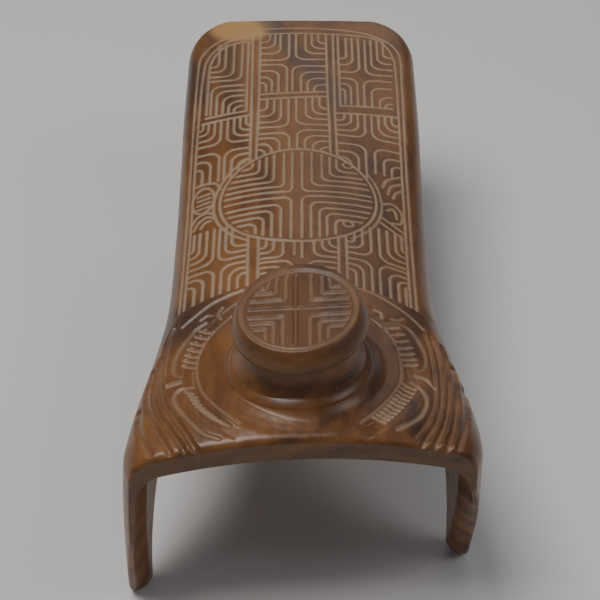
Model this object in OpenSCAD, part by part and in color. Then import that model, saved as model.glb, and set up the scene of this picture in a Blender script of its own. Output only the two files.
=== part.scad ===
// Carved wooden headrest: a long arched deck on four tongue-shaped legs, with a
// flared hood over its front end and a round disc on a flared neck on the hood.
// The real thing is cut from one block of wood. Each node here is one member that
// the carver worked as a shape of its own, and neighbours meet face to face.
// Lengths are in millimetres. X is across, Y runs from the front arch (-Y) to the
// far end of the deck (+Y), and Z is up from the ground under the feet.

/* [Overall size] */
// Height of the deck's crest above the ground
crest_h = 110; // [98:1:130]
// Length of the deck's centre line from the front arch to the far end
length = 333; // [315:1:350]
// Half width of the deck where its top turns down into the sides
deck_half_w = 61.5; // [58:0.5:66]
// Half width over the right knee of the hood, where its top turns down
knee_half_w = 79; // [77:0.5:81]

/* [Shell] */
// Thickness of the shell at its crest
shell_t = 11; // [9:0.5:13]
// Thickness of the side walls
wall_t = 10; // [8:0.5:12]
// Radius of the plan corners at the far end
corner_r = 30; // [20:1:36]
// Height of the arch between a front and a rear leg
arch_h = 72; // [68:1:76]

/* [Hood] */
// Distance from the front arch to the hood's rear step, on the centre line
hood_len = 102; // [96:1:110]
// How far the hood stands above the deck
hood_rise = 3; // [2:0.5:5]
// How far back the knees lie from the front arch
knee_s = 15; // [10:1:18]

/* [Knob] */
// Distance from the front arch to the knob's centre
knob_s = 46; // [42:1:52]
// Radius of the collar ring round the foot of the neck
collar_r = 32; // [28:0.5:34]
// Radius of the neck under the disc
neck_r = 23; // [18:0.5:25]
// Radius of the disc
disc_r = 29.5; // [26:0.5:31]
// Height of the disc's side
disc_h = 9; // [6:0.5:12]
// Tilt of the disc, its left side lower, in degrees
disc_tilt = 5; // [0:0.5:6]

/* [Legs] */
// Height at which the legs leave the side walls
leg_top = 62; // [58:1:64]
// Length of each foot, over its rounded ends
foot_len = 13; // [12:0.5:15]

/* [Hidden] */

wood = "peru";
dark_wood = "saddlebrown";
LEFT = -1;
RIGHT = 1;

// The front arch's face is a plane a little out of square, its left end further forward.
front_slant = 0.05;
// Y of the front arch's centre, which puts the origin under the middle of the whole.
front_y = -(length - front_slant * knee_half_w) / 2;

// The crown is bent across, most at the waist and hardly at the far end.
waist_s = 140;
waist_bend = 1 / 105;
end_bend = 1 / 1500;
front_spread = 150;
far_spread = 100;

// Radii of the shoulder where the crown turns into a side wall.
hood_shoulder_r = 12;
deck_shoulder_r = 9;
inner_shoulder_r = 12;

// The sides flare from a little behind the hood to the knees, the right one more fully,
// and the start of the flare is softened.
flare_len = 118;
left_flare_power = 1.2;
right_flare_power = 1.8;
flare_soft = 2;
// How much wider the deck is on its right than on its left.
right_extra = 1.2;
// How much nearer the centre line the left knee is than the right.
knee_skew = 3.2;
// How far the front arch's shoulders stand in from the knees.
knee_in = 3.5;
// Length of the slope from the hood's top down to the front arch.
brow_len = 25;

// How far a wall's foot stands out from its shoulder: a little all along, and more at
// the legs, which splay, except the right front one, which stands upright.
side_splay = 1;
left_front_splay = 1.5;
right_front_splay = -0.5;
rear_splay = 4;
front_splay_s = 15;
rear_splay_s = 275;
front_splay_len = 40;
rear_splay_len = 50;

// The step at the hood's rear bows back towards its middle.
step_bow = 10;
bow_spread = 45;

// Distances behind the front arch at which the feet stand.
left_front_foot_s = 20;
right_front_foot_s = 38;
rear_foot_s = 266;
// Heights at which a front leg's leading edge leaves the plane of the front arch.
left_corner_h = 48;
right_corner_h = 75;
// How far a leg spreads towards the arch beside it, and how sharply.
leg_spread = 38;
leg_power = 2.3;
// How far the far end's rim hangs below its shoulder, how much it thins, and how much
// smaller its shoulder is.
rim_drop = 2;
rim_thin = 4;
rim_shoulder_r = 3;
// Radius of the rounding at a foot's end, and the blunt thickness of a leg's edges.
toe_r = 6;
edge_t = 4;
foot_cut = 1;

side_steps = 9;
// Heights of a leg's sections. The lowest is under the ground, and is cut off flat.
leg_heights = concat([-foot_cut, 0.8, 2, toe_r], [for (i = [1 : 9]) mix(toe_r, leg_top, i / 9)]);

function mix(a, b, t) = a + (b - a) * t;
function ease(t) = let(u = max(0, min(1, t))) u * u * (3 - 2 * u);

// Bend (1 / radius) of the crown's arc at distance s behind the front arch.
function crown_bend(s) =
    end_bend + (waist_bend - end_bend)
        * exp(-pow((s - waist_s) / (s < waist_s ? front_spread : far_spread), 2));

// How far a quarter round of radius r has dropped at distance d in from its edge.
function round_off(d, r) = let(in = min(max(d, 0), r)) r - sqrt(r * r - pow(r - in, 2));

// Half width in plan, where a side wall starts.
function knee_w(side) = side == LEFT ? knee_half_w - knee_skew : knee_half_w;
function flare_power(side) = side == LEFT ? left_flare_power : right_flare_power;
function deck_w(side) = side == LEFT ? deck_half_w : deck_half_w + right_extra;
function flare_out(side, s) =
    (knee_w(side) - deck_w(side))
        * (1 - pow(max(0, s - knee_s) / (flare_len - knee_s), flare_power(side)));
function soft_floor(d) = (d + sqrt(d * d + flare_soft * flare_soft)) / 2;
function flared_w(side, s) =
    s < knee_s ? knee_w(side) - knee_in * pow(1 - s / knee_s, 2)
    : deck_w(side) + soft_floor(flare_out(side, s));
function corner_in(s) = round_off(length - s, corner_r);
function half_w(side, s) = flared_w(side, s) - corner_in(s);

function hood_lift(s) =
    s > hood_len ? 0 : hood_rise * (1 - pow(1 - min(1, s / brow_len), 2));
function crest_z(s, lift) = crest_h + lift * hood_lift(s) - round_off(length - s, rim_shoulder_r);

// How near s is to the far end's rim, from 0 on the deck to 1 at the end.
function rim(s) = 1 - ease((length - s) / corner_r);

function shoulder_r(s) = s < hood_len ? hood_shoulder_r : mix(deck_shoulder_r, rim_shoulder_r, rim(s));

function front_splay(side) = side == LEFT ? left_front_splay : right_front_splay;
function wall_splay(side, s) =
    side_splay + front_splay(side) * exp(-pow((s - front_splay_s) / front_splay_len, 2))
        + rear_splay * exp(-pow((s - rear_splay_s) / rear_splay_len, 2));

// The side wall's thickness: a thin lip at the front arch, full from the knees back.
function side_t(s) = mix(2.5, wall_t, ease(s / knee_s));

// X of a side wall's outer face at height z, below the shoulder at (w, top_z).
function wall_x(side, s, z, w, top_z) =
    let(d = max(0, 1 - z / top_z)) w + wall_splay(side, s) * (1 - pow(1 - d, 3));

// Height of the crown, and of the shoulder's foot at half width w, under a crest at top.
function crown_z(top, bend, x) = top - bend * x * x / 2;
function shoulder_z(top, bend, w, r) = crown_z(top, bend, w) - r;

// One side of an arch-shaped section, from the crest out and down to height low:
// crown, quarter-round shoulder, then wall. Each point is [x, z].
function half_arch(side, s, top, bend, w, r, low, in) =
    let(foot = shoulder_z(top, bend, w, r))
    concat(
        [for (i = [0 : 8]) let(x = (w - r) * i / 8) [x, crown_z(top, bend, x)]],
        [for (a = [15 : 15 : 90]) let(x = w - r + r * sin(a))
            [x, crown_z(top, bend, x) - r + r * cos(a)]],
        [for (i = [1 : 4]) let(z = mix(foot, low, i / 4)) [wall_x(side, s, z, w + in, foot) - in, z]]
    );

// Both sides from the left foot over the crest to the right foot.
function whole_arch(left, right) =
    concat([for (i = [len(left) - 1 : -1 : 1]) [-left[i][0], left[i][1]]], right);

// Height of a side's lower edge: along the front leg's leading edge, over the arch
// between the legs, and up behind the rear leg to the far end.
function front_corner_h(side) = side == LEFT ? left_corner_h : right_corner_h;
function foot_s(side) = side == LEFT ? left_front_foot_s : right_front_foot_s;
function arch_start(side) = foot_s(side) + foot_len / 2 + leg_spread;
function arch_end() = rear_foot_s - foot_len / 2 - leg_spread;
function rear_rise() = rear_foot_s + foot_len / 2 + 24;
function low_z(side, s) =
    let(lead = front_corner_h(side) * (1 - s / (foot_s(side) - foot_len / 2)),
        mid = (arch_start(side) + arch_end()) / 2,
        half = (arch_end() - arch_start(side)) / 2)
    s < arch_start(side) ? max(leg_top, lead)
    : s < arch_end() ? leg_top + (arch_h - leg_top) * (1 - pow(abs(s - mid) / half, 5))
    : s < rear_rise() ? leg_top
    : mix(leg_top, rim_z(side, s), sin(90 * (s - rear_rise()) / (length - rear_rise())));
function rim_z(side, s) =
    shoulder_z(crest_z(s, 0), crown_bend(s), half_w(side, s), shoulder_r(s)) - rim_drop;

// Y of a point of the section at s: the front is slanted, the hood's step is bowed.
function place(s, x) =
    front_y + s + front_slant * x * (1 - ease(s / 60))
        - step_bow * exp(-pow((s - hood_len) / bow_spread, 2)) * pow(x / deck_half_w, 2);

function section(s, lift, inside) =
    let(in = inside * side_t(s),
        r = inside == 0 ? shoulder_r(s)
            : mix(max(inner_shoulder_r, shoulder_r(s) - 1), rim_drop, rim(s)),
        top = crest_z(s, lift) - inside * (shell_t + lift * hood_lift(s) - rim_thin * rim(s)),
        bend = crown_bend(s),
        left = half_arch(LEFT, s, top, bend, half_w(LEFT, s) - in, r, low_z(LEFT, s), in),
        right = half_arch(RIGHT, s, top, bend, half_w(RIGHT, s) - in, r, low_z(RIGHT, s), in))
    [for (p = whole_arch(left, right)) [p[0], place(s, p[0]), p[1]]];

// A closed skin over a row of sections, each an outer and an inner line of points.
module shell_skin(stations, lift) {
    outer = [for (s = stations) section(s, lift, 0)];
    inner = [for (s = stations) section(s, lift, 1)];
    n = len(outer[0]);
    m = len(stations);
    points = [for (k = [0 : m - 1]) each concat(outer[k], inner[k])];
    function o(k, i) = k * 2 * n + i;
    function q(k, i) = k * 2 * n + n + i;
    faces = concat(
        [for (k = [0 : m - 2], i = [0 : n - 2])
            each [[o(k, i), o(k + 1, i), o(k + 1, i + 1)], [o(k, i), o(k + 1, i + 1), o(k, i + 1)]]],
        [for (k = [0 : m - 2], i = [0 : n - 2])
            each [[q(k, i), q(k + 1, i + 1), q(k + 1, i)], [q(k, i), q(k, i + 1), q(k + 1, i + 1)]]],
        [for (k = [0 : m - 2])
            each [[o(k, 0), q(k, 0), q(k + 1, 0)], [o(k, 0), q(k + 1, 0), o(k + 1, 0)]]],
        [for (k = [0 : m - 2])
            each [[o(k, n - 1), q(k + 1, n - 1), q(k, n - 1)],
                  [o(k, n - 1), o(k + 1, n - 1), q(k + 1, n - 1)]]],
        [for (i = [0 : n - 2])
            each [[o(0, i), o(0, i + 1), q(0, i + 1)], [o(0, i), q(0, i + 1), q(0, i)]]],
        [for (i = [0 : n - 2])
            each [[o(m - 1, i), q(m - 1, i + 1), o(m - 1, i + 1)],
                  [o(m - 1, i), q(m - 1, i), q(m - 1, i + 1)]]]
    );
    polyhedron(points, faces);
}

module deck() {
    corner_s = length - corner_r;
    stations = concat(
        [for (i = [0 : 8]) mix(hood_len, arch_end(), i / 8)],
        [for (i = [1 : 4]) mix(arch_end(), rear_rise(), i / 4)],
        [for (i = [1 : 2]) mix(rear_rise(), corner_s, i / 2)],
        [for (a = [15 : 15 : 75]) corner_s + corner_r * sin(a)], [length]);
    color(wood) shell_skin(stations, 0);
}

module hood() {
    front = [0, 2, 5, 8, knee_s, 17, 22];
    middle = [for (i = [1 : 4]) mix(22, arch_start(LEFT), i / 4)];
    rear = [for (i = [1 : 4]) mix(arch_start(RIGHT), hood_len, i / 4)];
    arches = [for (i = [1 : 2]) mix(arch_start(LEFT), arch_start(RIGHT), i / 2)];
    stations = concat(front, middle, arches, rear);
    color(wood) difference() {
        shell_skin(stations, 1);
        at_knob() cylinder(r = collar_r, h = 40, $fn = 96);
    }
}

// The knob stands on a flat seat a little below the hood's crest.
seat_z = crest_h - 2;
module at_knob() {
    translate([0, front_y + knob_s, seat_z]) children();
}

collar_h = 9;
module knob_collar() {
    roll = 3;
    color(wood) at_knob() rotate_extrude($fn = 96)
        polygon(concat(
            [[0, 0], [collar_r, 0], [collar_r, collar_h - roll]],
            [for (a = [10 : 10 : 90]) [collar_r - roll + roll * cos(a), collar_h - roll + roll * sin(a)]],
            [[0, collar_h]]));
}

neck_h = 18;
module knob_neck() {
    foot_r = collar_r - 3;
    color(wood) at_knob() translate([0, 0, collar_h]) difference() {
        rotate_extrude($fn = 96)
            polygon(concat(
                [[0, 0]],
                [for (i = [0 : 8]) let(t = i / 8) [neck_r + (foot_r - neck_r) * pow(1 - t, 4), neck_h * t]],
                [[neck_r, neck_h + 5], [0, neck_h + 5]]));
        tilted() cylinder(r = 2 * disc_r, h = 40);
    }
}

// The disc's underside, tilted about the middle of the neck's top.
module tilted() {
    translate([0, 0, neck_h]) rotate([0, disc_tilt * -1, 0]) children();
}

module knob_disc() {
    low_round = 1.5;
    top_round = 4.5;
    color(dark_wood) at_knob() translate([0, 0, collar_h]) tilted()
        rotate_extrude($fn = 96) polygon(concat(
            [[0, 0]],
            [for (a = [-90 : 30 : 0])
                [disc_r - low_round + low_round * cos(a), low_round + low_round * sin(a)]],
            [for (a = [15 : 15 : 90])
                [disc_r - top_round + top_round * cos(a), disc_h - top_round + top_round * sin(a)]],
            [[0, disc_h]]));
}

// Leading and trailing edges of a leg at height z, as distances behind the front arch.
function toe_in(z) = z > toe_r ? 0 : toe_r - sqrt(toe_r * toe_r - pow(toe_r - max(z, 0.3), 2));
function spread_at(z) = leg_spread * pow(max(0, z) / leg_top, leg_power);
function front_lead(side, z) =
    let(foot = foot_s(side) - foot_len / 2) max(0, foot * (1 - max(0, z) / front_corner_h(side)));
function front_trail(side, z) = foot_s(side) + foot_len / 2 + spread_at(z);
function rear_lead(z) = rear_foot_s - foot_len / 2 - spread_at(z);
function rear_trail(z) = rear_foot_s + foot_len / 2 + 24 * pow(max(0, z) / leg_top, 1.5);

// One horizontal section of a leg between a and b: its outer face follows the side
// wall, and it thins towards both edges.
function leg_ring(side, z, a, b) =
    let(steps = side_steps)
    concat(
        [for (i = [0 : steps]) leg_point(side, z, mix(a, b, i / steps), 0, 0)],
        [for (i = [steps : -1 : 0])
            let(s = mix(a, b, i / steps), gap = min(i, steps - i) / steps * (b - a))
            leg_point(side, z, s, 1, gap)]
    );
function leg_point(side, z, s, inside, gap) =
    let(w = half_w(side, s),
        cz = shoulder_z(crest_z(s, 0), crown_bend(s), w, shoulder_r(s)),
        x = wall_x(side, s, z, w, cz),
        thick = min(side_t(s), edge_t + gap * 1.2),
        px = side * (x - inside * thick))
    [px, place(s, px), z];

module leg_skin(side, lead, trail) {
    rings = [for (i = [0 : len(leg_heights) - 1]) leg_ring(side, leg_heights[i], lead[i], trail[i])];
    n = len(rings[0]);
    m = len(rings);
    half = n / 2;
    function v(k, i) = k * n + i % n;
    skin = concat(
        [for (k = [0 : m - 2], i = [0 : n - 1])
            each [[v(k, i), v(k + 1, i), v(k + 1, i + 1)], [v(k, i), v(k + 1, i + 1), v(k, i + 1)]]],
        [for (i = [0 : half - 2])
            each [[v(0, i), v(0, i + 1), v(0, n - 2 - i)], [v(0, i), v(0, n - 2 - i), v(0, n - 1 - i)]]],
        [for (i = [0 : half - 2])
            each [[v(m - 1, i), v(m - 1, n - 2 - i), v(m - 1, i + 1)],
                  [v(m - 1, i), v(m - 1, n - 1 - i), v(m - 1, n - 2 - i)]]]);
    difference() {
        polyhedron([for (r = rings) each r], side == LEFT ? [for (f = skin) [f[2], f[1], f[0]]] : skin);
        translate([-2 * knee_half_w, -length, -3 * foot_cut])
            cube([4 * knee_half_w, 2 * length, 3 * foot_cut]);
    }
}

module front_leg(side) {
    color(wood) leg_skin(side,
        [for (z = leg_heights) front_lead(side, z) + toe_in(z)],
        [for (z = leg_heights) front_trail(side, z) - toe_in(z)]);
}

module rear_leg(side) {
    color(wood) leg_skin(side,
        [for (z = leg_heights) rear_lead(z) + toe_in(z)],
        [for (z = leg_heights) rear_trail(z) - toe_in(z)]);
}

module left_front_leg() { front_leg(LEFT); }
module right_front_leg() { front_leg(RIGHT); }
module left_rear_leg() { rear_leg(LEFT); }
module right_rear_leg() { rear_leg(RIGHT); }

deck();
hood();
knob_collar();
knob_neck();
knob_disc();
left_front_leg();
right_front_leg();
left_rear_leg();
right_rear_leg();
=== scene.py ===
import math

import bpy
import numpy as np
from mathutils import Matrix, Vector


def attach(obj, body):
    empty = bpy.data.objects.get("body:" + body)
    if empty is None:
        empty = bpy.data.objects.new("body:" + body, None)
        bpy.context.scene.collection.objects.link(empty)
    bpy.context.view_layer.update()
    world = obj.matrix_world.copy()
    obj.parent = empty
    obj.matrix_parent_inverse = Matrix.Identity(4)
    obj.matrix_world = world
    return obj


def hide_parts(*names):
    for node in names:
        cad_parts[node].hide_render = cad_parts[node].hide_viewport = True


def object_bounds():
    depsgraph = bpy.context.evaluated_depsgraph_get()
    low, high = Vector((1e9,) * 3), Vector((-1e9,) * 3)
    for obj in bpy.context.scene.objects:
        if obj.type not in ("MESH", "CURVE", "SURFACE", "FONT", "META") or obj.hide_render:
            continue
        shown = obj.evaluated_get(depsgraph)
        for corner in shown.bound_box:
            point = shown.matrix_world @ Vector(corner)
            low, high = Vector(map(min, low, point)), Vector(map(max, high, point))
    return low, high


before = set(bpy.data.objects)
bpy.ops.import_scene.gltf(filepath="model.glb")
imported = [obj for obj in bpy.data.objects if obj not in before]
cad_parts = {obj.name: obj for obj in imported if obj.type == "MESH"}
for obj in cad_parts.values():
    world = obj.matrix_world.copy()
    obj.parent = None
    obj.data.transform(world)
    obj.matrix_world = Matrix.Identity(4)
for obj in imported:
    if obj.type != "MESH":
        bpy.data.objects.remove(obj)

SIZE_LO, SIZE_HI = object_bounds()
BOX_LO, BOX_HI = np.array(SIZE_LO) * 1000, np.array(SIZE_HI) * 1000

# Lengths are in millimetres until a mesh is made. s is the distance behind the front arch,
# x is across, z is up. LEFT and RIGHT are -1 and 1.
LEFT, RIGHT = -1, 1
CREST_H = 110.0
LENGTH = 333.0
DECK_W = 61.5
KNEE_W = 79.0
SHELL_T = 11.0
WALL_T = 10.0
CORNER_R = 30.0
ARCH_H = 72.0
HOOD_LEN = 102.0
HOOD_RISE = 3.0
KNEE_S = 15.0
KNEE_IN = 3.5  # how far the front arch's shoulders stand in from the knees
LEFT_KNEE_W = KNEE_W - 3.2
FLARE_LEN = 118.0  # how far back the flare of the sides begins
FLARE_SOFT = 2.0
LEG_TOP = 62.0
FOOT_LEN = 13.0
SLANT = 0.05
LEG_SPREAD = 38.0
REAR_FOOT_S = 266.0
FRONT_Y = -(LENGTH - SLANT * KNEE_W) / 2
KNOB_S = 46.0
SEAT_Z = CREST_H - 2
COLLAR_H = 9.0
COLLAR_R = 32.0
NECK_R = 23.0
NECK_H = 18.0
DISC_R = 29.3
DISC_LONG = 1.06
DISC_H = 9.0
DISC_RIM = 4.4  # width of the disc's sloping rim
DISC_LEAN = 0.03  # slope of the disc's top, down towards the front
NECK_FOOT_R = 31.2
NECK_SINK = 4.6  # how far the neck's foot runs down into the collar
DISC_TILT = math.radians(5)
ARCH_END = REAR_FOOT_S - FOOT_LEN / 2 - LEG_SPREAD
REAR_RISE = REAR_FOOT_S + FOOT_LEN / 2 + 24


# ---------------------------------------------------------------- the carved shape
def mix(a, b, t):
    return a + (b - a) * t


def ease(t):
    u = np.clip(t, 0, 1)
    return u * u * (3 - 2 * u)


def round_off(d, r):
    """How far a quarter round of radius r has dropped at distance d in from its edge."""
    d = np.clip(d, 0, r)
    return r - np.sqrt(np.maximum(0, r * r - (r - d) ** 2))


def crown_bend(s):
    spread = np.where(s < 140, 150.0, 100.0)
    return 1 / 1500 + (1 / 105 - 1 / 1500) * np.exp(-(((s - 140) / spread) ** 2))


def flared_w(side, s):
    if side == LEFT:
        power, knee, deck = 1.2, LEFT_KNEE_W, DECK_W
    else:
        power, knee, deck = 1.8, KNEE_W, DECK_W + 1.2
    d = (knee - deck) * (1 - (np.maximum(0, s - KNEE_S) / (FLARE_LEN - KNEE_S)) ** power)
    flare = deck + (d + np.sqrt(d * d + FLARE_SOFT ** 2)) / 2
    return np.where(s < KNEE_S, knee - KNEE_IN * np.clip(1 - s / KNEE_S, 0, 1) ** 2, flare)


def half_w(side, s):
    return flared_w(side, s) - round_off(LENGTH - s, CORNER_R)


def hood_lift(s):
    return HOOD_RISE * (1 - (1 - np.clip(s / 25, 0, 1)) ** 2)


def rim(s):
    return 1 - ease((LENGTH - s) / CORNER_R)


def shoulder_r(s, lift):
    hood = np.full_like(s, 12.0)
    deck = mix(9.0, 3.0, rim(s))
    return hood if lift else deck


def side_t(s):
    return mix(2.5, WALL_T, ease(s / KNEE_S))


def wall_x(side, s, z, w, top_z):
    d = np.maximum(0, 1 - z / top_z)
    front = 1.5 if side == LEFT else -0.5
    splay = 1 + front * np.exp(-(((s - 15) / 40) ** 2)) + 4 * np.exp(-(((s - 275) / 50) ** 2))
    return w + splay * (1 - (1 - d) ** 3)


def crown_z(top, s, x):
    return top - crown_bend(s) * x * x / 2


def crest_z(s, lift):
    return CREST_H + (hood_lift(s) if lift else 0) - round_off(LENGTH - s, 3.0)


def inner_line(side, s, lift):
    """Half width, crest and shoulder radius of the hollow inside."""
    thin = SHELL_T + (hood_lift(s) if lift else 0) - 4 * rim(s)
    r = mix(np.maximum(12.0, shoulder_r(s, lift) - 1), 2.0, rim(s))
    return half_w(side, s) - side_t(s), crest_z(s, lift) - thin, r


def foot_s(side):
    return 20.0 if side == LEFT else 38.0


def corner_h(side):
    return 48.0 if side == LEFT else 75.0


def arch_start(side):
    return foot_s(side) + FOOT_LEN / 2 + LEG_SPREAD


def low_z(side, s):
    """Height of the shell's lower edge above the legs' tops and over the side arch."""
    lead = np.maximum(LEG_TOP, corner_h(side) * (1 - s / (foot_s(side) - FOOT_LEN / 2)))
    a, b = arch_start(side), ARCH_END
    q = np.abs(s - (a + b) / 2) / ((b - a) / 2)
    arch = LEG_TOP + (ARCH_H - LEG_TOP) * (1 - np.minimum(q, 1) ** 5)
    w = half_w(side, s)
    r = mix(9.0, 3.0, rim(s))
    rim_low = crown_z(crest_z(s, False), s, w) - r - 2
    t = np.clip((s - REAR_RISE) / (LENGTH - REAR_RISE), 0, 1)
    rear = mix(LEG_TOP, rim_low, np.sin(math.pi / 2 * t))
    return np.where(s < a, lead, np.where(s < b, arch, np.where(s < REAR_RISE, LEG_TOP, rear)))


def spread_at(z):
    return LEG_SPREAD * (np.maximum(z, 0) / LEG_TOP) ** 2.3


def toe_in(z):
    return round_off(np.maximum(z, 0.3), 6.0)


def leg_edges(side, rear, z):
    if rear:
        lead = REAR_FOOT_S - FOOT_LEN / 2 - spread_at(z)
        trail = REAR_FOOT_S + FOOT_LEN / 2 + 24 * (np.maximum(z, 0) / LEG_TOP) ** 1.5
    else:
        lead = (foot_s(side) - FOOT_LEN / 2) * np.maximum(0, 1 - z / corner_h(side))
        trail = foot_s(side) + FOOT_LEN / 2 + spread_at(z)
    return lead + toe_in(z), trail - toe_in(z)


def lower_edge(side):
    """Points (s, z) along the cut lower edge of one side, from the front to the far end."""
    z = np.linspace(0, LEG_TOP, 60)
    lead, trail = leg_edges(side, False, z)
    slope = np.linspace(min(corner_h(side), 90), 0, 60)
    first, _ = leg_edges(side, False, slope)
    arch = np.linspace(arch_start(side), ARCH_END, 80)
    rear_lead, rear_trail = leg_edges(side, True, z)
    end = np.linspace(REAR_RISE, LENGTH, 40)
    parts = [
        (first, slope), (trail, z), (arch, low_z(side, arch)),
        (rear_lead[::-1], z[::-1]), (rear_trail, z), (end, low_z(side, end)),
    ]
    return [np.stack(p, 1) for p in parts]


def edge_distance(side, s, z):
    """Distance from (s, z) to the cut lower edge, measured in the wall."""
    shape = s.shape
    p = np.stack([s.ravel(), z.ravel()], 1)
    best = np.full(len(p), 1e9)
    for line in lower_edge(side):
        for a, b in zip(line[:-1], line[1:]):
            ab = b - a
            t = np.clip(((p - a) @ ab) / max(ab @ ab, 1e-9), 0, 1)
            best = np.minimum(best, np.hypot(*(p - a - t[:, None] * ab).T))
    return best.reshape(shape)


def place(s, x):
    bow = 10 * np.exp(-(((s - HOOD_LEN) / 45) ** 2)) * (x / DECK_W) ** 2
    return FRONT_Y + s + SLANT * x * (1 - ease(s / 60)) - bow


def top_z(x, s, lift):
    """Height of the top surface at plan position (x, s), for the crown and shoulders."""
    side_w = np.where(x < 0, half_w(LEFT, s), half_w(RIGHT, s))
    return crown_z(crest_z(s, lift), s, x) - round_off(side_w - np.abs(x), shoulder_r(s, lift))


# ---------------------------------------------------------------- carved lines
def noise(x, y, seed):
    """Slow, smooth waviness between about -1 and 1."""
    rng = np.random.default_rng(seed)
    out = 0
    for scale in (1.0, 1.9, 3.7):
        a, b, c, d = rng.uniform(0, 6.28, 4)
        out = out + np.sin(x * scale + a + 1.3 * np.sin(y * scale * 0.7 + b)) * np.cos(y * scale + c) / scale
    return out / 1.6


def smooth_line(points, steps=8):
    """A curve through the given points."""
    p = np.array(points, float)
    if len(p) < 3:
        return p
    q = np.vstack([2 * p[0] - p[1], p, 2 * p[-1] - p[-2]])
    out = []
    for i in range(1, len(q) - 2):
        t = np.linspace(0, 1, steps, endpoint=False)[:, None]
        a, b, c, d = q[i - 1], q[i], q[i + 1], q[i + 2]
        square = (2 * a - 5 * b + 4 * c - d) * t ** 2
        cube = (3 * b - a - 3 * c + d) * t ** 3
        out.append(0.5 * (2 * b + (c - a) * t + square + cube))
    return np.vstack(out + [p[-1:]])


def arc(cx, cs, rx, rs, a0, a1, steps=48):
    a = np.radians(np.linspace(a0, a1, steps))
    return np.stack([cx + rx * np.cos(a), cs + rs * np.sin(a)], 1)


def corner_line(x, s, x_end, s_end, r=5.2, rise=0.0):
    """An L with a rounded corner at (x, s): one arm runs to s_end and one to x_end."""
    r = min(r, abs(x_end - x) * 0.8, abs(s_end - s) * 0.8)
    dx, ds = math.copysign(1, x_end - x), math.copysign(1, s_end - s)
    t = np.linspace(0, math.pi / 2, 8)
    bend = np.stack([x + dx * r * (1 - np.cos(t)), s + ds * r * (1 - np.sin(t))], 1)
    line = np.vstack([[[x, s_end]], bend, [[x_end, s]]])
    line[:, 1] += rise * np.abs(line[:, 0] - x)
    return line


def nest(corners, x_end, s_end, r=5.2, rise=0.0):
    return [corner_line(x, s, x_end, s_end, r, rise) for x, s in corners]


class Carving:
    """Depth and paleness of the carved lines at a set of plan positions."""

    def __init__(self, x, s):
        self.x, self.s = x, s
        self.depth = np.zeros_like(x)
        self.pale = np.zeros_like(x)

    def cut(self, line, width, depth, pale=1.0, clip=None, taper=0.0):
        """A groove of rounded section along a line. clip(x, s) is 1 where it's let be."""
        line = np.asarray(line, float)
        reach = width * 0.75
        lo, hi = line.min(0) - reach, line.max(0) + reach
        near = (self.x > lo[0]) & (self.x < hi[0]) & (self.s > lo[1]) & (self.s < hi[1])
        if not near.any():
            return
        px, ps = self.x[near], self.s[near]
        wob = 0.16 * noise(px * 0.5, ps * 0.5, 5)
        best = np.full(px.shape, 1e9)
        for a, b in zip(line[:-1], line[1:]):
            ab = b - a
            box = np.abs(px - (a[0] + b[0]) / 2) < abs(ab[0]) / 2 + reach
            box &= np.abs(ps - (a[1] + b[1]) / 2) < abs(ab[1]) / 2 + reach
            if not box.any():
                continue
            qx, qs = px[box] - a[0], ps[box] - a[1]
            t = np.clip((qx * ab[0] + qs * ab[1]) / max(ab @ ab, 1e-9), 0, 1)
            best[box] = np.minimum(best[box], np.hypot(qx - t * ab[0], qs - t * ab[1]))
        w = width * (1 + 0.22 * noise(px * 0.35, ps * 0.35, 9))
        u = np.clip((best + wob * 0.5) / (w / 2 + 0.25), 0, 1)
        shape = (1 - u * u) ** 1.5
        if clip is not None:
            shape = shape * clip(px, ps)
        self.depth[near] = np.maximum(self.depth[near], depth * shape)
        self.pale[near] = np.maximum(self.pale[near], pale * np.clip(shape * 1.5, 0, 1))

    def cuts(self, lines, width, depth, pale=1.0, clip=None):
        for line in lines:
            self.cut(line, width, depth, pale, clip)


ROUND = (-1.0, 170.3)  # centre of the deck's circle
ROUND_RX, ROUND_RS = 38.5, 37.2


def in_round(x, s, grow=0.0):
    q = np.hypot((x - ROUND[0]) / (ROUND_RX + grow), (s - ROUND[1]) / (ROUND_RS + grow))
    return 1 - ease((q - 1) * 20 + 0.5)


def outside_round(x, s):
    return 1 - in_round(x, s, 0.8)


def inside_round(x, s):
    return in_round(x, s, -2.0)


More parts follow.
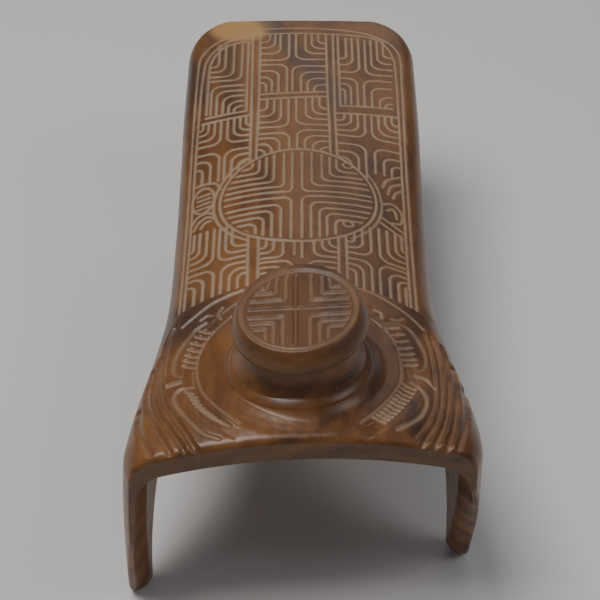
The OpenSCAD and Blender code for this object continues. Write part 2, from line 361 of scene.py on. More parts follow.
def carve_deck(x, s):
    c = Carving(x, s)
    w, d = 1.5, 0.5

    # Two lines run round the border, and a third inside them on the left.
    outer = smooth_line([
        (-56.2, 95), (-56, 150), (-55.6, 240), (-55, 288), (-53, 298), (-48, 307), (-40, 314),
        (-30, 318.5), (-20, 322), (0, 322.8), (15, 322.3), (30, 320), (40, 316), (50, 308),
        (54.6, 295), (54.5, 270), (54, 200), (54, 150), (54, 94)])
    inner = smooth_line([
        (-53.9, 95), (-53.6, 150), (-53, 240), (-52, 280), (-50, 294), (-45, 304), (-38, 311),
        (-27, 315.5), (-15, 317.3), (15, 317.3), (35, 315), (44, 311), (48.5, 303), (50.6, 295),
        (51.6, 280), (51.5, 200), (51.3, 150), (51.3, 94)])
    c.cut(outer, 1.3, 0.55)
    c.cut(inner, 1.3, 0.55)
    c.cut(smooth_line([(-30, 309.5), (-38, 307), (-43.5, 302), (-48, 291), (-49, 280), (-49.2, 244)]), w, d)

    # Upright strips between the three columns of panels, and the lines across.
    up = [
        [(-22, 317), (-21.6, 254), (-21.8, 230), (-22.3, 196)],
        [(-26, 314), (-25.4, 240), (-25.2, 196)],
        [(-28.3, 309), (-28.2, 244)],
        [(-19.8, 140), (-19.5, 98)],
        [(-24.8, 142), (-24.3, 97)],
        [(14.3, 317), (14.6, 254), (15.2, 230), (15.4, 200)],
        [(18.2, 316), (18.2, 240), (18.8, 200)],
        [(20.8, 315), (21.2, 249)],
        [(18.2, 140), (18.2, 98)],
        [(21.9, 140), (22.0, 98)],
    ]
    c.cuts(up, w, d, clip=outside_round)
    across = [
        [(-21.5, 257.6), (14.3, 260)],
        [(-21.5, 253), (14.3, 255.6)],
        [(-49.4, 241), (-28.5, 243.5)],
        [(-51, 236.5), (-26.5, 239.5)],
        [(21, 247.5), (48.5, 249)],
        [(18.6, 240.8), (51.5, 242.5)],
    ]
    c.cuts(across, w, d)

    # Each panel holds a four-pointed star, with rounded L's nested in its four quarters.
    star_panels = [
        (nest([(-6, 290.5), (-10.8, 297), (-13.7, 303), (-16.5, 308.5)], -21.5, 316.5)),
        (nest([(-2.2, 291), (3, 297), (6.5, 302), (10, 307.5)], 14, 316.5)),
        (nest([(-7, 286), (-11.5, 280), (-15, 274), (-18, 268.5)], -21.5, 260)),
        (nest([(-4, 284.5), (0.5, 278.5), (4, 272.5), (7.5, 266.5)], 14, 261)),
        (nest([(-6, 227.5), (-10, 232), (-13.5, 237.5), (-17.2, 243)], -21.5, 252)),
        (nest([(-2, 229.5), (3, 234.5), (6.5, 239), (10.2, 244)], 14.6, 254)),
        (nest([(-5.5, 222), (-10.5, 218), (-14.5, 213), (-18, 208.5)], -22, 196)),
        (nest([(-1.5, 224.5), (2.5, 219.5), (6.5, 215), (10.5, 210)], 15, 196)),
        (nest([(-31.5, 272.5), (-36, 276.5), (-40.5, 281), (-44, 285.5)], -48.6, 307)),
        (nest([(-47, 267.5), (-44, 262.8), (-40.6, 258), (-37.5, 253), (-34.6, 248.5)], -30, 243.5)),
        (nest([(-41, 218), (-44.3, 222.5), (-47.5, 227), (-50.4, 231)], -53, 236.5)),
        (nest([(-37.5, 218), (-34.2, 222.5), (-31, 227), (-28, 231.5)], -26, 238.5)),
        (nest([(-41, 211.5), (-45.3, 206.5), (-49.3, 201)], -53, 189)),
        (nest([(-38.3, 211.5), (-34.6, 206.8), (-31, 202), (-28, 198)], -25.8, 189)),
        (nest([(32, 279.5), (28.5, 286.5), (25.2, 292.5)], 21.5, 313)),
        (nest([(35.5, 278), (38.8, 283.5), (42.2, 289), (45.5, 295)], 49.5, 311)),
        (nest([(30.5, 273.5), (27, 268.3), (23.9, 263)], 21.6, 249.5)),
        (nest([(34, 272.5), (38, 266), (42, 258.5), (45, 253)], 48.5, 249.5)),
        (nest([(33.6, 221.5), (30, 226), (26.5, 230.5), (23, 234.5)], 19.4, 240.5)),
        (nest([(37.2, 221.5), (40.8, 226), (44.3, 230.5), (47.8, 235)], 51.2, 242)),
        (nest([(33.4, 214.5), (29.6, 208), (25.6, 203)], 19.4, 188)),
        (nest([(38, 214), (42.4, 208), (46.3, 202.8)], 51.2, 194)),
        (nest([(-41.5, 126), (-45, 130.5), (-48.5, 135), (-51.4, 139.5)], -53.4, 152)),
        (nest([(-38.7, 125.8), (-35.6, 130), (-32.6, 134)], -25.6, 151)),
        (nest([(-40.6, 121.4), (-45.4, 117.5), (-49.5, 113)], -53.4, 95)),
        (nest([(-37, 121.4), (-33, 117), (-29, 113)], -25, 97)),
        (nest([(33.8, 128), (29.8, 132), (26, 136)], 22.6, 150)),
        (nest([(38, 126.5), (42, 130.7), (46, 135), (49, 139)], 51, 151)),
        (nest([(33.6, 123.6), (29.6, 119.6), (26, 115.5)], 22.6, 97)),
        (nest([(37.4, 123.5), (42, 119.4), (46, 115.8), (49.4, 112.5)], 51, 95)),
        (nest([(-8, 121.3), (-12.5, 125.3), (-16, 129)], -19.4, 140, 4)),
        (nest([(6.5, 122.4), (10.5, 126.4), (13.8, 130)], 17.8, 140, 4)),
        (nest([(-3.8, 118.3), (-8.4, 114.4), (-12.5, 110.4), (-16, 106.6)], -19.2, 97, 4)),
        (nest([(4, 118.5), (8.3, 114.5), (12, 110.6), (15.2, 107)], 17.8, 97, 4)),
    ]
    for lines in star_panels:
        c.cuts(lines, w, d, clip=outside_round)

    # The circle, with a second line round parts of it.
    c.cut(arc(*ROUND, ROUND_RX, ROUND_RS, 0, 360, 120), 1.5, 0.6)
    c.cut(arc(-2, 170, 40.6, 39.6, 128, 236), w, 0.5)
    c.cut(arc(-0.4, 170, 40.6, 39.8, -52, 34), w, 0.45, 0.8)
    inside = [
        nest([(-4.3, 167.2), (-9.3, 161.8), (-13.6, 157.5), (-17.7, 153.2), (-21.4, 149),
            (-24.6, 145)], -44, 128, 3.6),
        nest([(0.9, 168.2), (5.3, 163.6), (9.4, 159.4), (12.9, 155.4), (17, 151.4)], 42, 128, 3.6, 0.07),
        nest([(1.0, 172.2), (5.8, 177.4), (10.8, 181.8), (14.8, 185.8), (18.2, 190.2)], 42, 212, 3.6, 0.06),
        nest([(-3.9, 172), (-8, 176.2), (-13, 180.4), (-16.8, 184.6), (-20.4, 188.8),
            (-23.8, 193)], -44, 212, 3.6),
    ]
    for lines in inside:
        c.cuts(lines, w, d, clip=inside_round)
    c.cut(arc(23.2, 149.4, 2.4, 2.2, 0, 360, 24), 1.1, 0.45)
    c.cut(arc(23.8, 196.4, 2.4, 2.2, 0, 360, 24), 1.1, 0.45)
    c.cut([(0.9, 133), (0.9, 121)], w, d)
    c.cut([(-2.6, 132), (-2.6, 123)], w, 0.4, 0.7)

    # Small ovals and fans beside the circle.
    c.cut(arc(-48, 176.5, 5.6, 9.2, 0, 360, 40), w, 0.5)
    c.cuts([[(-51, t), (-44.6, t + 0.5)] for t in (170.6, 173.8, 177, 180.2)], 1.3, 0.5)
    c.cut(smooth_line([(-53.4, 188.6), (-47, 188.9), (-42, 187.2), (-39.6, 182)]), w, 0.5)
    c.cut(smooth_line([(-53.4, 160.5), (-50.5, 165), (-45.6, 166.4), (-42.3, 164)]), w, 0.5)
    c.cut(smooth_line([(-52, 156), (-49.4, 161), (-45.4, 163), (-41.8, 160.6)]), w, 0.5)
    c.cut(smooth_line([(-48.6, 156), (-46.6, 159), (-43.6, 159.6)]), w, 0.5)
    c.cut(smooth_line([(41, 184), (43.4, 190.5), (51, 196)]), w, 0.5)
    c.cut(smooth_line([(43.6, 180), (45.4, 186.4), (51, 190.6)]), w, 0.5)
    c.cut(smooth_line([(46.2, 178), (47.6, 182.4), (51, 185.6)]), w, 0.5)
    c.cut(smooth_line([(41, 171), (45.5, 173), (50, 168.5), (49.4, 160.5), (45, 158.6)]), w, 0.5)
    c.cut(smooth_line([(42.6, 167), (46, 169), (47.6, 162.6)]), w, 0.45)
    c.cut([(40.2, 160.4), (51, 153.4)], w, 0.5)
    c.cut([(39.4, 156.2), (51, 148.4)], w, 0.5)
    return c


def carve_hood(x, s):
    c = Carving(x, s)
    w, d = 2.3, 0.85
    # A raised rim curves round the knob on both sides, with a comb of short cuts along it.
    left_rim = smooth_line([(-31, 80), (-38, 72.5), (-42.5, 65), (-44.9, 55), (-45.1, 45), (-43.5, 37),
        (-41, 30), (-36, 22), (-30.5, 15.3), (-25.6, 9.8)])
    right_rim = smooth_line([(31.4, 79.6), (37, 74.5), (41, 69), (43.2, 62), (44.1, 53), (44.1, 45),
        (43, 38), (40, 31), (36, 24), (31, 17), (25.6, 11)])
    c.cut(left_rim, 1.5, 0.7, 0.45)
    c.cut(right_rim, 1.5, 0.7, 0.45)
    combs = [
        ([(-42.4, 73.2), (-44, 69.8), (-45.8, 66.1), (-47, 62.2), (-47.9, 58.4), (-48.4, 54.8),
            (-48.8, 51.4)], (-2.7, 1.5)),
        ([(-47.8, 33.8), (-46.4, 31.1), (-45.3, 28.4), (-44, 25.7), (-42.6, 23.1), (-41, 20.6),
            (-39.3, 18.4), (-37.5, 16.4), (-35.6, 14.4), (-33.6, 12.6), (-31.6, 10.9)], (-1.7, 1.0)),
        ([(41.2, 75.9), (43.2, 72), (45, 68), (46.5, 64), (47.4, 60), (48, 56.4), (48.4, 52.8)], (3.0, 1.2)),
        ([(47.4, 37.2), (46.4, 34.3), (45.2, 31.6), (44, 29), (42.6, 26.5), (41.2, 24), (39.7, 21.6),
            (38.2, 19.4), (36.6, 17.3), (35, 15.4), (33.3, 13.6)], (2.4, -0.9)),
    ]
    # The comb ticks are painted pale, a painted highlight standing in for the light that catches them.
    for ticks, (dx, ds) in combs:
        c.cuts([[(tx - dx, ts - ds), (tx + dx, ts + ds)] for tx, ts in ticks], 1.9, 0.85, 0.85)
    # The field round the knob is dished, and the comb bands are sunk a little.
    r = np.hypot(x, s - KNOB_S)
    c.depth += 0.35 * ease((r - 33) / 5) * ease((45.2 - r) / 5)
    band = ease((r - 45.4) / 1.2) * ease((52.5 - r) / 2.0) * ease((np.abs(x) - 24) / 6)
    c.depth += 0.55 * band
    # Pointed frames round the combs.
    c.cut(smooth_line([(-42, 79), (-47, 76), (-51, 70), (-54.6, 63.3), (-55.8, 55), (-55.2, 49),
        (-52, 45.6)]), w, d, 0.4)
    c.cut(smooth_line([(-46.4, 36.6), (-51, 36.8), (-54.2, 33.3), (-53.4, 27.5), (-50, 20.8),
        (-45.3, 13.3), (-40.3, 6.9), (-34, 3.4)]), w, d, 0.5)
    c.cut(smooth_line([(37.4, 77), (44.7, 80), (49.9, 77), (53.8, 69.2), (55.6, 61.7), (54.9, 53.6),
        (51.3, 49.2)]), w, d, 0.4)
    c.cut(smooth_line([(48.4, 40.4), (53, 35.5), (54.4, 29), (51.6, 20), (46.5, 14), (40.7, 9.6)]),
        w, d, 0.5)
    # Notches where the frames meet.
    c.cut([(-57.6, 41.6), (-52.4, 42)], 3.2, 1.1, 0.9)
    c.cut(smooth_line([(50.6, 45.6), (54.8, 45), (58.6, 41.4)]), 3.0, 1.1, 0.9)
    c.cut([(-46.8, 46.4), (-46, 38.6)], 2.0, 1.0, 0.1)
    c.cut([(47, 49), (47.8, 42)], 2.0, 1.0, 0.1)
    # Long grooves follow the flare of the sides to the front.
    left_long = [
        [(-57, 84), (-60, 77), (-61, 60), (-60.8, 44), (-58.6, 31), (-53, 18), (-47.4, 7), (-43.6, -1)],
        [(-62.5, 66), (-64, 52), (-63.7, 41), (-61.6, 27), (-56.4, 14.6), (-48.6, 0)],
        [(-66, 61), (-67.5, 46), (-66.6, 34), (-64, 22), (-59.6, 10.6), (-54.6, 0)],
        [(-70.4, 34), (-69.6, 22), (-67, 11), (-62.8, 1)],
    ]
    right_long = [
        [(56.6, 78), (58.6, 66), (59, 50), (58.6, 34), (55, 19), (49, 7.6)],
        [(60, 78), (62.2, 64), (62.2, 47), (61.2, 31), (57.8, 16.7), (51.8, 4.4)],
        [(64.6, 76), (66.2, 60), (65.6, 46), (64.6, 33), (61.6, 17), (56.6, 3.4)],
        [(69, 66), (69, 50), (68, 33), (66, 18), (62.4, 4.4)],
        [(73.6, 57), (73.2, 38), (71, 21), (67.2, 6)],
    ]
    for line in left_long + right_long:
        c.cut(smooth_line(line), 3.3, 1.4, 0.12)
    # The groove in front of the rear step, and two small curls on each side.
    c.cut(smooth_line([(-26, 96.4), (-38.7, 92.3), (-47, 86.6), (-53.4, 81)]), 2.6, 0.8, 0.1)
    c.cut(smooth_line([(27, 99), (34, 96.8), (42, 93), (50, 87.8), (56, 81.6)]), 1.8, 0.7, 0.7)
    c.cut(smooth_line([(33.8, 85.4), (36.4, 84.4), (37, 81.2)]), 1.8, 0.7, 0.8)
    c.cut(smooth_line([(41, 81.8), (44, 82.3), (46.6, 84.6)]), 1.8, 0.7, 0.6)
    c.cut(smooth_line([(-35.2, 87), (-37.2, 83.4), (-35.8, 80)]), 1.8, 0.7, 0.5)
    c.cut(smooth_line([(-45, 82), (-42, 84), (-39.6, 83.4)]), 1.8, 0.7, 0.5)
    return c


def carve_disc(x, y):
    c = Carving(x, y)
    w, d = 2.6, 0.75
    c.cut(arc(0, -1, 24.6, 24.4, 0, 360, 96), 2.2, 0.5, 0.3)
    c.cut([(-1.2, 20), (-1.2, -21)], 2.4, 0.8, 0.12)
    c.cut([(-21.5, 0.4), (21.5, -0.6)], 2.4, 0.8, 0.2)
    inside = lambda px, py: 1 - ease((np.hypot(px, py + 1) - 21.8) / 1.2)
    quarters = [
        nest([(5.4, 4.2), (10.2, 8), (13.6, 11.6)], 24, 24, 1.2),
        nest([(-5.4, 5.3), (-9.6, 10), (-13.2, 13.2)], -24, 24, 1.8),
        nest([(-6.6, -5), (-10.6, -8.6), (-14, -12)], -24, -24, 1.2),
        nest([(4.8, -5.2), (8.8, -9), (12.4, -12.4)], 24, -24, 1.2),
    ]
    for lines in quarters:
        c.cuts(lines, w, d, 0.4, clip=inside)
    return c


# ---------------------------------------------------------------- meshes
INNER_STEP = 4


def grid_normals(p):
    """Unit normals of a grid of points, by differences along its rows and columns."""
    n = np.cross(np.gradient(p, axis=0), np.gradient(p, axis=1))
    return n / np.maximum(np.linalg.norm(n, axis=2, keepdims=True), 1e-9)


def make_mesh(name, verts, faces, pale, sharp_rings=()):
    """A mesh in metres from millimetre points and a list of face index arrays."""
    mesh = bpy.data.meshes.new(name)
    verts = np.clip(np.asarray(verts, float), BOX_LO, BOX_HI)
    tris = []
    for f in faces:
        tris.append(f[:, [0, 1, 2]])
        if f.shape[1] == 4:
            tris.append(f[:, [0, 2, 3]])
    t = np.vstack(tris)
    a, b, c = verts[t[:, 0]], verts[t[:, 1]], verts[t[:, 2]]
    flip = np.einsum("ij,ij->", a, np.cross(b, c)) < 0
    sizes = np.concatenate([np.full(len(f), f.shape[1]) for f in faces])
    loops = np.concatenate([(f[:, ::-1] if flip else f).ravel() for f in faces])
    mesh.vertices.add(len(verts))
    mesh.vertices.foreach_set("co", (verts / 1000).astype(np.float32).ravel())
    mesh.loops.add(len(loops))
    mesh.loops.foreach_set("vertex_index", loops.astype(np.int32))
    mesh.polygons.add(len(sizes))
    mesh.polygons.foreach_set("loop_start", np.concatenate([[0], np.cumsum(sizes)[:-1]]).astype(np.int32))
    mesh.polygons.foreach_set("loop_total", sizes.astype(np.int32))
    mesh.update(calc_edges=True)
    mesh.validate()
    mesh.polygons.foreach_set("use_smooth", np.ones(len(mesh.polygons), bool))
    if len(sharp_rings):
        ring = np.zeros(len(verts), int)
        for k, ids in enumerate(sharp_rings):
            ring[ids] = k + 1
        ends = np.zeros(len(mesh.edges) * 2, np.int32)
        mesh.edges.foreach_get("vertices", ends)
        ends = ends.reshape(-1, 2)
        same = (ring[ends[:, 0]] > 0) & (ring[ends[:, 0]] == ring[ends[:, 1]])
        mesh.edges.foreach_set("use_edge_sharp", same)
    layer = mesh.attributes.new("pale", "FLOAT", "POINT")
    layer.data.foreach_set("value", np.asarray(pale, np.float32))
    obj = bpy.data.objects.new(name, mesh)
    bpy.context.scene.collection.objects.link(obj)
    return obj


def ring_piece(name, outer, inner, pale):
    """A closed piece: rows of an outer line and an inner line that has every fourth point."""
    rows, n, _ = outer.shape
    m = inner.shape[1]
    total = n + m
    verts = np.concatenate([outer, inner], 1).reshape(-1, 3)
    k = np.arange(rows - 1)[:, None] * total

    def quads(a, b, flip):
        f = np.stack([k + a, k + total + a, k + total + b, k + b], -1).reshape(-1, 4)
        return f[:, ::-1] if flip else f

    i = np.arange(n - 1)[None]
    j = np.arange(m - 1)[None]
    zero = np.zeros((1, 1), int)
    faces = [
        quads(i, i + 1, False),
        quads(n + j, n + j + 1, True),
        quads(zero, zero + n, True),
        quads(zero + n - 1, zero + n + m - 1, False),
    ]
    j = np.arange(m - 1)
    cap = [j * INNER_STEP + q for q in range(INNER_STEP + 1)]
    front = np.stack([n + j + 1, n + j] + cap, 1)
    faces += [front, (front + (rows - 1) * total)[:, ::-1]]
    shade = np.zeros((rows, total))
    shade[:, :n] = pale
    ends = [np.arange(total), np.arange(total) + (rows - 1) * total]
    return make_mesh(name, verts, faces, shade.ravel(), ends)


def side_columns(side, s, lift, n_crown, n_round, n_wall):
    """One side's outer line for each row: (x, s, z) from the crest out and down."""
    w, r = half_w(side, s), shoulder_r(s, lift)
    top = crest_z(s, lift)
    x0 = w - r
    fx = np.linspace(0, 1, n_crown + 1)[None]
    x = x0 * fx
    z = crown_z(top, s, x)
    a = np.linspace(0, math.pi / 2, n_round + 1)[None, 1:]
    xa = w - r + r * np.sin(a)
    za = crown_z(top, s, xa) - r + r * np.cos(a)
    foot = crown_z(top, s, w) - r
    low = low_z(side, s)
    t = np.linspace(0, 1, n_wall + 1)[None, 1:]
    zw = mix(foot, low, 1 - (1 - t) ** 1.25)
    xw = wall_x(side, s, zw, w, foot)
    x, z = np.concatenate([x, xa, xw], 1), np.concatenate([z, za, zw], 1)
    return side * x, z


def wall_inner_x(side, s, z, lift):
    w, top, r = inner_line(side, s, lift)
    foot = crown_z(top, s, w) - r
    return wall_x(side, s, z, w + side_t(s), foot) - side_t(s), foot


def edge_round(d):
    return round_off(d, 2.0)


def thickness(full, d):
    """Wall thickness near the cut edge, measured from the unrounded outer face."""
    return 2 + np.maximum(full - 2, 0) * np.sqrt(1 - (1 - np.clip(d / 7, 0, 1)) ** 2)


def shell_piece(name, s, lift, cols, carve):
    s = s[:, None]
    n_crown, n_round, n_wall = cols
    halves = {}
    for side in (LEFT, RIGHT):
        x, z = side_columns(side, s, lift, n_crown, n_round, n_wall)
        ss = np.broadcast_to(s, x.shape)
        p = np.stack([x, place(ss, x), z], 2)
        d = np.full(x.shape, 99.0)
        wall = slice(x.shape[1] - n_wall - 1, None)
        d[:, wall] = edge_distance(side, ss[:, wall], z[:, wall])
        # The hollow side, at every fourth column.
        w, top, r = inner_line(side, s, lift)
        fx = np.linspace(0, 1, n_crown // INNER_STEP + 1)[None]
        xi = (w - r) * fx
        zi = crown_z(top, s, xi)
        a = np.linspace(0, math.pi / 2, n_round // INNER_STEP + 1)[None, 1:]
        xa = w - r + r * np.sin(a)
        za = crown_z(top, s, xa) - r + r * np.cos(a)
        t = np.linspace(0, 1, n_wall // INNER_STEP + 1)[None, 1:]
        foot = crown_z(top, s, w) - r
        low = low_z(side, s)
        zw = mix(np.maximum(foot, low), low, 1 - (1 - t) ** 1.25)
        w_out = half_w(side, s)
        xo = wall_x(side, s, zw, w_out, crown_z(crest_z(s, lift), s, w_out) - shoulder_r(s, lift))
        xw, _ = wall_inner_x(side, s, zw, lift)
        di = edge_distance(side, np.broadcast_to(s, zw.shape), zw)
        xw = xo - thickness(xo - xw, di)
        xi, zi = np.concatenate([xi, xa, xw], 1), np.concatenate([zi, za, zw], 1)
        q = np.stack([side * xi, place(np.broadcast_to(s, xi.shape), side * xi), zi], 2)
        halves[side] = (p, d, q)
    outer = np.concatenate([halves[LEFT][0][:, :0:-1], halves[RIGHT][0]], 1)
    dist = np.concatenate([halves[LEFT][1][:, :0:-1], halves[RIGHT][1]], 1)
    inner = np.concatenate([halves[LEFT][2][:, :0:-1], halves[RIGHT][2]], 1)
    normal = grid_normals(outer)
    if normal[len(s) // 2, outer.shape[1] // 2, 2] < 0:
        normal = -normal
    cut = carve(outer[..., 0], outer[..., 1] - FRONT_Y)
    x, y, z_of = outer[..., 0], outer[..., 1], outer[..., 2]
    wear = 0.12 * noise(x * 0.09, y * 0.09, 3) + 0.05 * noise(x * 0.4, y * 0.4, 4)
    full = np.broadcast_to(side_t(s), x.shape)
    soft = np.clip((z_of - 88) / 12, 0, 1)
    reach = mix(1.0, 4.5, soft)
    front = np.where(lift, round_off(s / reach, 1.0) * mix(np.minimum(1.2, full * 0.24), 3.4, soft), 0)
    rear = np.where(lift, round_off(HOOD_LEN - s, 1.3), 0) * (dist > 30)
    off = cut.depth + edge_round(dist) + front + rear + wear * (dist > 4)
    outer = outer - normal * np.maximum(off, 0)[..., None]
    inner_n = grid_normals(inner)
    if inner_n[len(s) // 2, inner.shape[1] // 2, 2] < 0:
        inner_n = -inner_n
    if lift:
        inner = inner + inner_n * (round_off(s, 0.8) * 0.7)[..., None]
    return ring_piece(name, outer, inner, cut.pale)


def leg_piece(name, side, rear, step):
    z = np.concatenate([[0, 0.15, 0.4, 0.8], np.arange(1.3, LEG_TOP, step), [LEG_TOP]])[:, None]
    lead, trail = leg_edges(side, rear, z)
    n = 4 * int((trail[-1, 0] - lead[-1, 0]) / step / 4) + 1
    t = np.linspace(0, 1, n)[None]
    t = 0.5 * t + 0.25 * (1 - np.cos(math.pi * t))
    s = mix(lead, trail, t)
    zz = np.broadcast_to(z, s.shape)
    lift = not rear
    w = half_w(side, s)
    foot = crown_z(crest_z(s, lift), s, w) - shoulder_r(s, lift)
    xo = wall_x(side, s, zz, w, foot)
    xi, _ = wall_inner_x(side, s, zz, lift)
    d = edge_distance(side, s, zz)
    full = xo - xi
    thick = thickness(full, d)
    p = np.stack([side * xo, place(s, side * xo), zz], 2)
    normal = grid_normals(p)
    if normal[len(z) // 2, n // 2, 0] * side < 0:
        normal = -normal
    arris = np.minimum(1.2, side_t(s) * 0.24)
    front = np.where(lift, round_off(s, 1.0) * arris, 0)
    x, y = p[..., 0], p[..., 1]
    wear = 0.12 * noise(x * 0.09, y * 0.09, 3) + 0.05 * noise(x * 0.4, y * 0.4, 4)
    foot_round = round_off(zz, 0.8)
    off = edge_round(d) + front + foot_round + wear * ease(d / 4) * ease(zz / 5)
    normal[:2, :, 2] = 0
    outer = p - normal * np.maximum(off, 0)[..., None]
    outer[..., 2] = np.clip(outer[..., 2], 0, None)
    outer[0, :, 2] = 0
    back = np.maximum(thick - round_off(s, 0.8) * 0.7 * lift - foot_round, edge_round(d) + 0.02)
    q = np.stack([side * (xo - back), place(s, side * (xo - back)), zz], 2)[:, ::INNER_STEP]
    return ring_piece(name, outer, q, np.zeros(xo.shape))


def lathe_piece(name, rr, zz, to_world, carve=None, steps=720, shift=None):
    """A turned piece. rr, zz run from the axis at the bottom round to the axis at the top."""
    a = np.linspace(0, 2 * math.pi, steps, endpoint=False)[:, None]
    x, y = rr[None] * np.cos(a), rr[None] * np.sin(a)
    z = np.broadcast_to(zz[None], x.shape).copy()
    pale = np.zeros(x.shape)
    if shift is not None:
        x, y, z = shift(a, x, y, z)
    if carve is not None:
        c = carve(x, y)
        up = ease((z - (zz.max() - 3.2)) / 2)
        z = z - c.depth * up
        pale = c.pale * up
    verts = np.stack([x, y, z], 2)
    n = len(rr)
    verts = to_world(verts.reshape(-1, 3))
    i = np.arange(steps)[:, None] * n
    i2 = (np.arange(steps)[:, None] + 1) % steps * n
    j = np.arange(1, n - 2)[None]
    faces = [np.stack([i + j, i2 + j, i2 + j + 1, i + j + 1], -1).reshape(-1, 4)]
    faces.append(np.stack([np.zeros(steps, int), i2[:, 0] + 1, i[:, 0] + 1], 1))
    faces.append(np.stack([np.full(steps, n - 1), i[:, 0] + n - 2, i2[:, 0] + n - 2], 1))
    return make_mesh(name, verts, faces, pale.ravel())


def knob_world(v):
    return v + np.array([0, FRONT_Y + KNOB_S, SEAT_Z])


def disc_world(v):
    c, s = math.cos(-DISC_TILT), math.sin(-DISC_TILT)
    x = v[:, 0] * c + v[:, 2] * s
    z = -v[:, 0] * s + v[:, 2] * c
    return knob_world(np.stack([x, v[:, 1], z + COLLAR_H + NECK_H], 1))


def arc_profile(cr, cz, r, a0, a1, n):
    a = np.radians(np.linspace(a0, a1, n))
    return cr + r * np.cos(a), cz + r * np.sin(a)


def build_disc(step):
    lr, lz = arc_profile(DISC_R - 0.8, 0.8, 0.8, -90, 0, 8)
    a = np.linspace(0, math.pi / 2, 28)
    tr = DISC_R - DISC_RIM + DISC_RIM * np.abs(np.cos(a)) ** 1.3
    tz = (DISC_H + 0.4) * np.sin(a) ** 1.3 - 0.4
    n = int((DISC_R - DISC_RIM) / step)
    flat = np.linspace(DISC_R - DISC_RIM, 0, n + 1)[1:]
    rr = np.concatenate([[0, 12, 22], lr, tr, flat])
    zz = np.concatenate([[0, 0, 0], lz - 1.4, tz, np.full(len(flat), DISC_H)])

    def shift(a, x, y, z):
        y = y * DISC_LONG + 0.03 * y * y / DISC_R
        r = np.hypot(x, y + 1)
        top = z > DISC_H / 2
        field = 0.6 * ease((25.2 - r) / 1.8) * top
        wear = np.maximum(0, 0.16 * noise(x * 0.12, y * 0.12, 21)) * top
        return x, y, z - field - wear * ease((28 - r) / 3) + DISC_LEAN * y

    return lathe_piece("disc", rr, zz, disc_world, carve_disc, 960, shift)


def build_neck():
    t = np.linspace(0, 1, 40)
    top_r = NECK_R + 1
    rr = np.concatenate([[0, 14], top_r + (NECK_FOOT_R - top_r) * (1 - t) ** 3, [top_r, 0]])
    side = NECK_H * t - NECK_SINK * (1 - t) ** 3
    zz = np.concatenate([[-NECK_SINK] * 2, side, [NECK_H + 4.4] * 2])

    def shift(a, x, y, z):
        top = NECK_H + x * math.tan(DISC_TILT) + DISC_LEAN * y + 0.6
        return x, y, np.where(z > NECK_H - 0.5, np.minimum(z + 6, top), np.minimum(z, top - 0.3))

    return lathe_piece("neck", rr, zz, lambda v: knob_world(v + np.array([0, 0, COLLAR_H])),
        None, 480, shift)


def build_collar():
    """A ring that carries the neck's flare out to a soft edge and down into the hood."""
    u = np.linspace(0, 1, 110)
    rr = np.concatenate([[0, 15], 24.5 + 15.5 * u, [30, 0]])
    zz = np.concatenate([[COLLAR_H - 0.5] * 2, np.full(len(u), COLLAR_H), [0.5, 0.5]])

    def shift(a, x, y, z):
        r = np.hypot(x, y)
        hood = top_z(x, KNOB_S + y, True) - SEAT_Z
        wear = 0.12 * noise(x * 0.09, (y + FRONT_Y + KNOB_S) * 0.09, 3)
        dish = 0.35 * ease((r - 33) / 5) * ease((45.2 - r) / 5)
        hood = hood - 0.04 - wear - dish
        slope = COLLAR_H - 3.2 * ease((r - 25.5) / 7.5)
        edge = 3.4
        ring = slope - round_off(COLLAR_R - r, edge) * (r > COLLAR_R - edge)
        ring = np.where(r > COLLAR_R, COLLAR_H - 2.9 - edge - (r - COLLAR_R) * 2.4, ring)
        # The edge fades towards the right front.
        turn = np.cos(np.arctan2(y, x) + math.radians(35))
        k = 4.5 + 8.0 * ease((turn + 0.1) / 0.8)
        h = np.clip(k - np.abs(ring - hood), 0, k) / k
        top = np.maximum(ring, hood) + h * h * k / 4
        top = mix(hood - 0.3, top, ease((39.9 - r) / 2.0))
        return x, y, np.where(z < COLLAR_H - 0.1, z, top)

    return lathe_piece("collar", rr, zz, knob_world, None, 720, shift)


